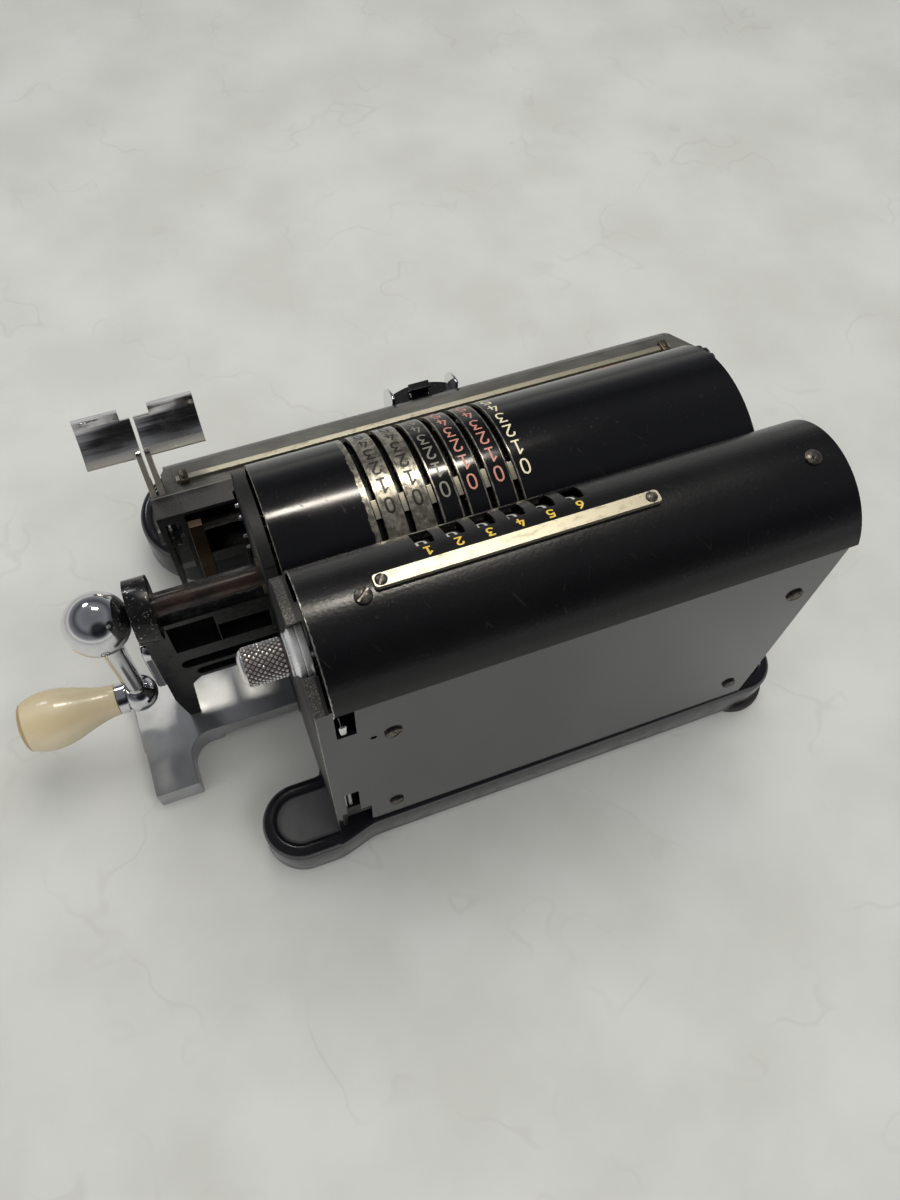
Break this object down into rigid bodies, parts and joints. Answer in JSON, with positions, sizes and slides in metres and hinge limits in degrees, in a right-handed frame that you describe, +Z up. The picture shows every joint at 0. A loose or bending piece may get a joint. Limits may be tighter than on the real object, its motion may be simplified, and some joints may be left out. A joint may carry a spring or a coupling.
{
  "type": "mechanical calculator",
  "caption": "Pinwheel calculating machine: black casing with setting slots and check dials, side crank with ivory grip, sliding register carriage with clearing levers.",
  "frame": {"origin": "middle of the machine's footprint, on the table under its feet", "axes": "+X along the casing towards the crank, +Y towards the back panel, +Z up"},
  "size_m": [0.3118, 0.1888, 0.1629],
  "materials": {
    "enamel_black": "gloss black baked enamel, finely scratched",
    "cast_black": "black lacquered light alloy casting, satin with glossy rims",
    "rubber": "matt black rubber",
    "frame_steel": "bare milled steel, slightly stained",
    "screw_steel": "blued steel",
    "chrome": "bright chrome plate",
    "plated_casting": "polished plated casting, hazy",
    "shaft_brown": "oil-browned steel",
    "brass": "pale brushed brass",
    "gear_brass": "bare brass",
    "strap_bronze": "brown spring bronze",
    "dial_black": "black anodised drum with pale numerals",
    "bakelite": "black moulded resin, dulled by hands",
    "ivory": "ivory coloured celluloid, polished"
  },
  "bodies": {
    "casing": {"base_casting": "cast_black", "rubber_feet": "rubber", "side_frame_right": "frame_steel", "side_frame_left": "frame_steel", "rear_panel": "enamel_black", "rear_cover": "enamel_black", "drum_cover": "enamel_black", "front_apron": "enamel_black", "casing_screws": "screw_steel", "label_strip": "brass", "rotor_bushes": "gear_brass", "crank_bracket": "cast_black", "crank_stop_block": "chrome", "outrigger_plate": "plated_casting", "carriage_rail": "frame_steel", "detent_strap": "strap_bronze", "idler_shaft": "frame_steel", "knob_collar": "chrome"},
    "knob": {"clearing_knob": "chrome", "check_shaft": "frame_steel"},
    "crank": {"crank_hub": "chrome", "crank_arm": "chrome", "handle_ball": "chrome", "rotor_shaft": "shaft_brown", "pinwheel_discs": "frame_steel", "counting_pins": "frame_steel", "grip_spindle": "frame_steel"},
    "grip": {"handle_grip": "ivory"},
    "setting_1": {"setting_lever_1": "gear_brass"},
    "setting_2": {"setting_lever_2": "gear_brass"},
    "setting_3": {"setting_lever_3": "gear_brass"},
    "setting_4": {"setting_lever_4": "gear_brass"},
    "setting_5": {"setting_lever_5": "gear_brass"},
    "setting_6": {"setting_lever_6": "gear_brass"},
    "idler_1": {"idler_gear_1": "gear_brass"},
    "idler_2": {"idler_gear_2": "gear_brass"},
    "idler_3": {"idler_gear_3": "gear_brass"},
    "idler_4": {"idler_gear_4": "gear_brass"},
    "idler_5": {"idler_gear_5": "gear_brass"},
    "idler_6": {"idler_gear_6": "gear_brass"},
    "check_1": {"check_dial_1": "dial_black"},
    "check_2": {"check_dial_2": "dial_black"},
    "check_3": {"check_dial_3": "dial_black"},
    "check_4": {"check_dial_4": "dial_black"},
    "check_5": {"check_dial_5": "dial_black"},
    "check_6": {"check_dial_6": "dial_black"},
    "carriage": {"carriage_cover": "enamel_black", "carriage_ends": "cast_black", "decimal_rail": "brass", "register_shaft": "frame_steel", "shift_handle": "chrome", "finger_plate": "enamel_black"},
    "button": {"release_button": "chrome"},
    "side_knob": {"side_knob": "bakelite"},
    "result_clear": {"clearing_lever_result": "chrome"},
    "counter_clear": {"clearing_lever_counter": "chrome"},
    "result_register": {"result_dials": "dial_black"},
    "counter_register": {"counter_dials": "dial_black"},
    "marker_right": {"decimal_marker_right": "chrome"},
    "marker_left": {"decimal_marker_left": "chrome"}
  },
  "joints": [
    {"name": "crank_turn", "type": "hinge", "parent": "casing", "child": "crank", "pos_m": [0.0799, 0.0154, 0.0975], "axis": [1, 0, 0], "continuous": true},
    {"name": "grip_spin", "type": "hinge", "parent": "crank", "child": "grip", "pos_m": [0.1349, 0.0154, 0.0385], "axis": [1, 0, 0], "continuous": true},
    {"name": "setting_1_turn", "type": "hinge", "parent": "crank", "child": "setting_1", "pos_m": [0.01615, 0.0154, 0.0975], "axis": [1, 0, 0], "range_deg": [0, 99]},
    {"name": "setting_2_turn", "type": "hinge", "parent": "crank", "child": "setting_2", "pos_m": [0.0069, 0.0154, 0.0975], "axis": [1, 0, 0], "range_deg": [0, 99]},
    {"name": "setting_3_turn", "type": "hinge", "parent": "crank", "child": "setting_3", "pos_m": [-0.00235, 0.0154, 0.0975], "axis": [1, 0, 0], "range_deg": [0, 99]},
    {"name": "setting_4_turn", "type": "hinge", "parent": "crank", "child": "setting_4", "pos_m": [-0.0116, 0.0154, 0.0975], "axis": [1, 0, 0], "range_deg": [0, 99]},
    {"name": "setting_5_turn", "type": "hinge", "parent": "crank", "child": "setting_5", "pos_m": [-0.02085, 0.0154, 0.0975], "axis": [1, 0, 0], "range_deg": [0, 99]},
    {"name": "setting_6_turn", "type": "hinge", "parent": "crank", "child": "setting_6", "pos_m": [-0.0301, 0.0154, 0.0975], "axis": [1, 0, 0], "range_deg": [0, 99]},
    {"name": "idler_1_turn", "type": "hinge", "parent": "casing", "child": "idler_1", "pos_m": [0.01475, 0.05909, 0.11413], "axis": [1, 0, 0], "range_deg": [-237.6, 0]},
    {"name": "idler_2_turn", "type": "hinge", "parent": "casing", "child": "idler_2", "pos_m": [0.0055, 0.05909, 0.11413], "axis": [1, 0, 0], "range_deg": [-237.6, 0]},
    {"name": "idler_3_turn", "type": "hinge", "parent": "casing", "child": "idler_3", "pos_m": [-0.00375, 0.05909, 0.11413], "axis": [1, 0, 0], "range_deg": [-237.6, 0]},
    {"name": "idler_4_turn", "type": "hinge", "parent": "casing", "child": "idler_4", "pos_m": [-0.013, 0.05909, 0.11413], "axis": [1, 0, 0], "range_deg": [-237.6, 0]},
    {"name": "idler_5_turn", "type": "hinge", "parent": "casing", "child": "idler_5", "pos_m": [-0.02225, 0.05909, 0.11413], "axis": [1, 0, 0], "range_deg": [-237.6, 0]},
    {"name": "idler_6_turn", "type": "hinge", "parent": "casing", "child": "idler_6", "pos_m": [-0.0315, 0.05909, 0.11413], "axis": [1, 0, 0], "range_deg": [-237.6, 0]},
    {"name": "check_1_turn", "type": "hinge", "parent": "casing", "child": "check_1", "pos_m": [0.01115, 0.0658, 0.137], "axis": [1, 0, 0], "range_deg": [0, 324]},
    {"name": "check_2_turn", "type": "hinge", "parent": "casing", "child": "check_2", "pos_m": [0.0019, 0.0658, 0.137], "axis": [1, 0, 0], "range_deg": [0, 324]},
    {"name": "check_3_turn", "type": "hinge", "parent": "casing", "child": "check_3", "pos_m": [-0.00735, 0.0658, 0.137], "axis": [1, 0, 0], "range_deg": [0, 324]},
    {"name": "check_4_turn", "type": "hinge", "parent": "casing", "child": "check_4", "pos_m": [-0.0166, 0.0658, 0.137], "axis": [1, 0, 0], "range_deg": [0, 324]},
    {"name": "check_5_turn", "type": "hinge", "parent": "casing", "child": "check_5", "pos_m": [-0.02585, 0.0658, 0.137], "axis": [1, 0, 0], "range_deg": [0, 324]},
    {"name": "check_6_turn", "type": "hinge", "parent": "casing", "child": "check_6", "pos_m": [-0.0351, 0.0658, 0.137], "axis": [1, 0, 0], "range_deg": [0, 324]},
    {"name": "knob_turn", "type": "hinge", "parent": "casing", "child": "knob", "pos_m": [0.0639, 0.0658, 0.137], "axis": [1, 0, 0], "continuous": true},
    {"name": "carriage_slide", "type": "slide", "parent": "casing", "child": "carriage", "axis": [1, 0, 0], "range_m": [-0.037, 0]},
    {"name": "side_knob_turn", "type": "hinge", "parent": "carriage", "child": "side_knob", "pos_m": [-0.1509, -0.0346, 0.062], "axis": [1, 0, 0], "continuous": true},
    {"name": "button_press", "type": "slide", "parent": "carriage", "child": "button", "axis": [0, 0, -1], "range_m": [0, 0.003], "stiffness_N_per_m": 300, "springref_m": -0.004},
    {"name": "result_clear_pull", "type": "hinge", "parent": "carriage", "child": "result_clear", "pos_m": [0.0834, -0.0346, 0.062], "axis": [1, 0, 0], "range_deg": [0, 45], "stiffness_Nm_per_rad": 0.03, "springref_deg": -34.38},
    {"name": "counter_clear_pull", "type": "hinge", "parent": "carriage", "child": "counter_clear", "pos_m": [0.0802, -0.0346, 0.062], "axis": [1, 0, 0], "range_deg": [0, 45], "stiffness_Nm_per_rad": 0.03, "springref_deg": -34.38},
    {"name": "result_dials_turn", "type": "hinge", "parent": "carriage", "child": "result_register", "pos_m": [0.0099, -0.0346, 0.062], "axis": [1, 0, 0], "range_deg": [-324, 0]},
    {"name": "counter_dials_turn", "type": "hinge", "parent": "carriage", "child": "counter_register", "pos_m": [-0.0801, -0.0346, 0.062], "axis": [1, 0, 0], "range_deg": [-324, 0]},
    {"name": "marker_right_slide", "type": "slide", "parent": "carriage", "child": "marker_right", "axis": [1, 0, 0], "range_m": [-0.09, 0.001]},
    {"name": "marker_left_slide", "type": "slide", "parent": "carriage", "child": "marker_left", "axis": [1, 0, 0], "range_m": [-0.001, 0.09]}
  ],
  "couplings": [
    {"joint": "idler_1_turn", "follows": "setting_1_turn", "ratio": -2.4},
    {"joint": "idler_2_turn", "follows": "setting_2_turn", "ratio": -2.4},
    {"joint": "idler_3_turn", "follows": "setting_3_turn", "ratio": -2.4},
    {"joint": "idler_4_turn", "follows": "setting_4_turn", "ratio": -2.4},
    {"joint": "idler_5_turn", "follows": "setting_5_turn", "ratio": -2.4},
    {"joint": "idler_6_turn", "follows": "setting_6_turn", "ratio": -2.4},
    {"joint": "check_1_turn", "follows": "setting_1_turn", "ratio": 3.2727},
    {"joint": "check_2_turn", "follows": "setting_2_turn", "ratio": 3.2727},
    {"joint": "check_3_turn", "follows": "setting_3_turn", "ratio": 3.2727},
    {"joint": "check_4_turn", "follows": "setting_4_turn", "ratio": 3.2727},
    {"joint": "check_5_turn", "follows": "setting_5_turn", "ratio": 3.2727},
    {"joint": "check_6_turn", "follows": "setting_6_turn", "ratio": 3.2727},
    {"joint": "result_dials_turn", "follows": "result_clear_pull", "ratio": -7.2},
    {"joint": "counter_dials_turn", "follows": "counter_clear_pull", "ratio": -7.2}
  ]
}
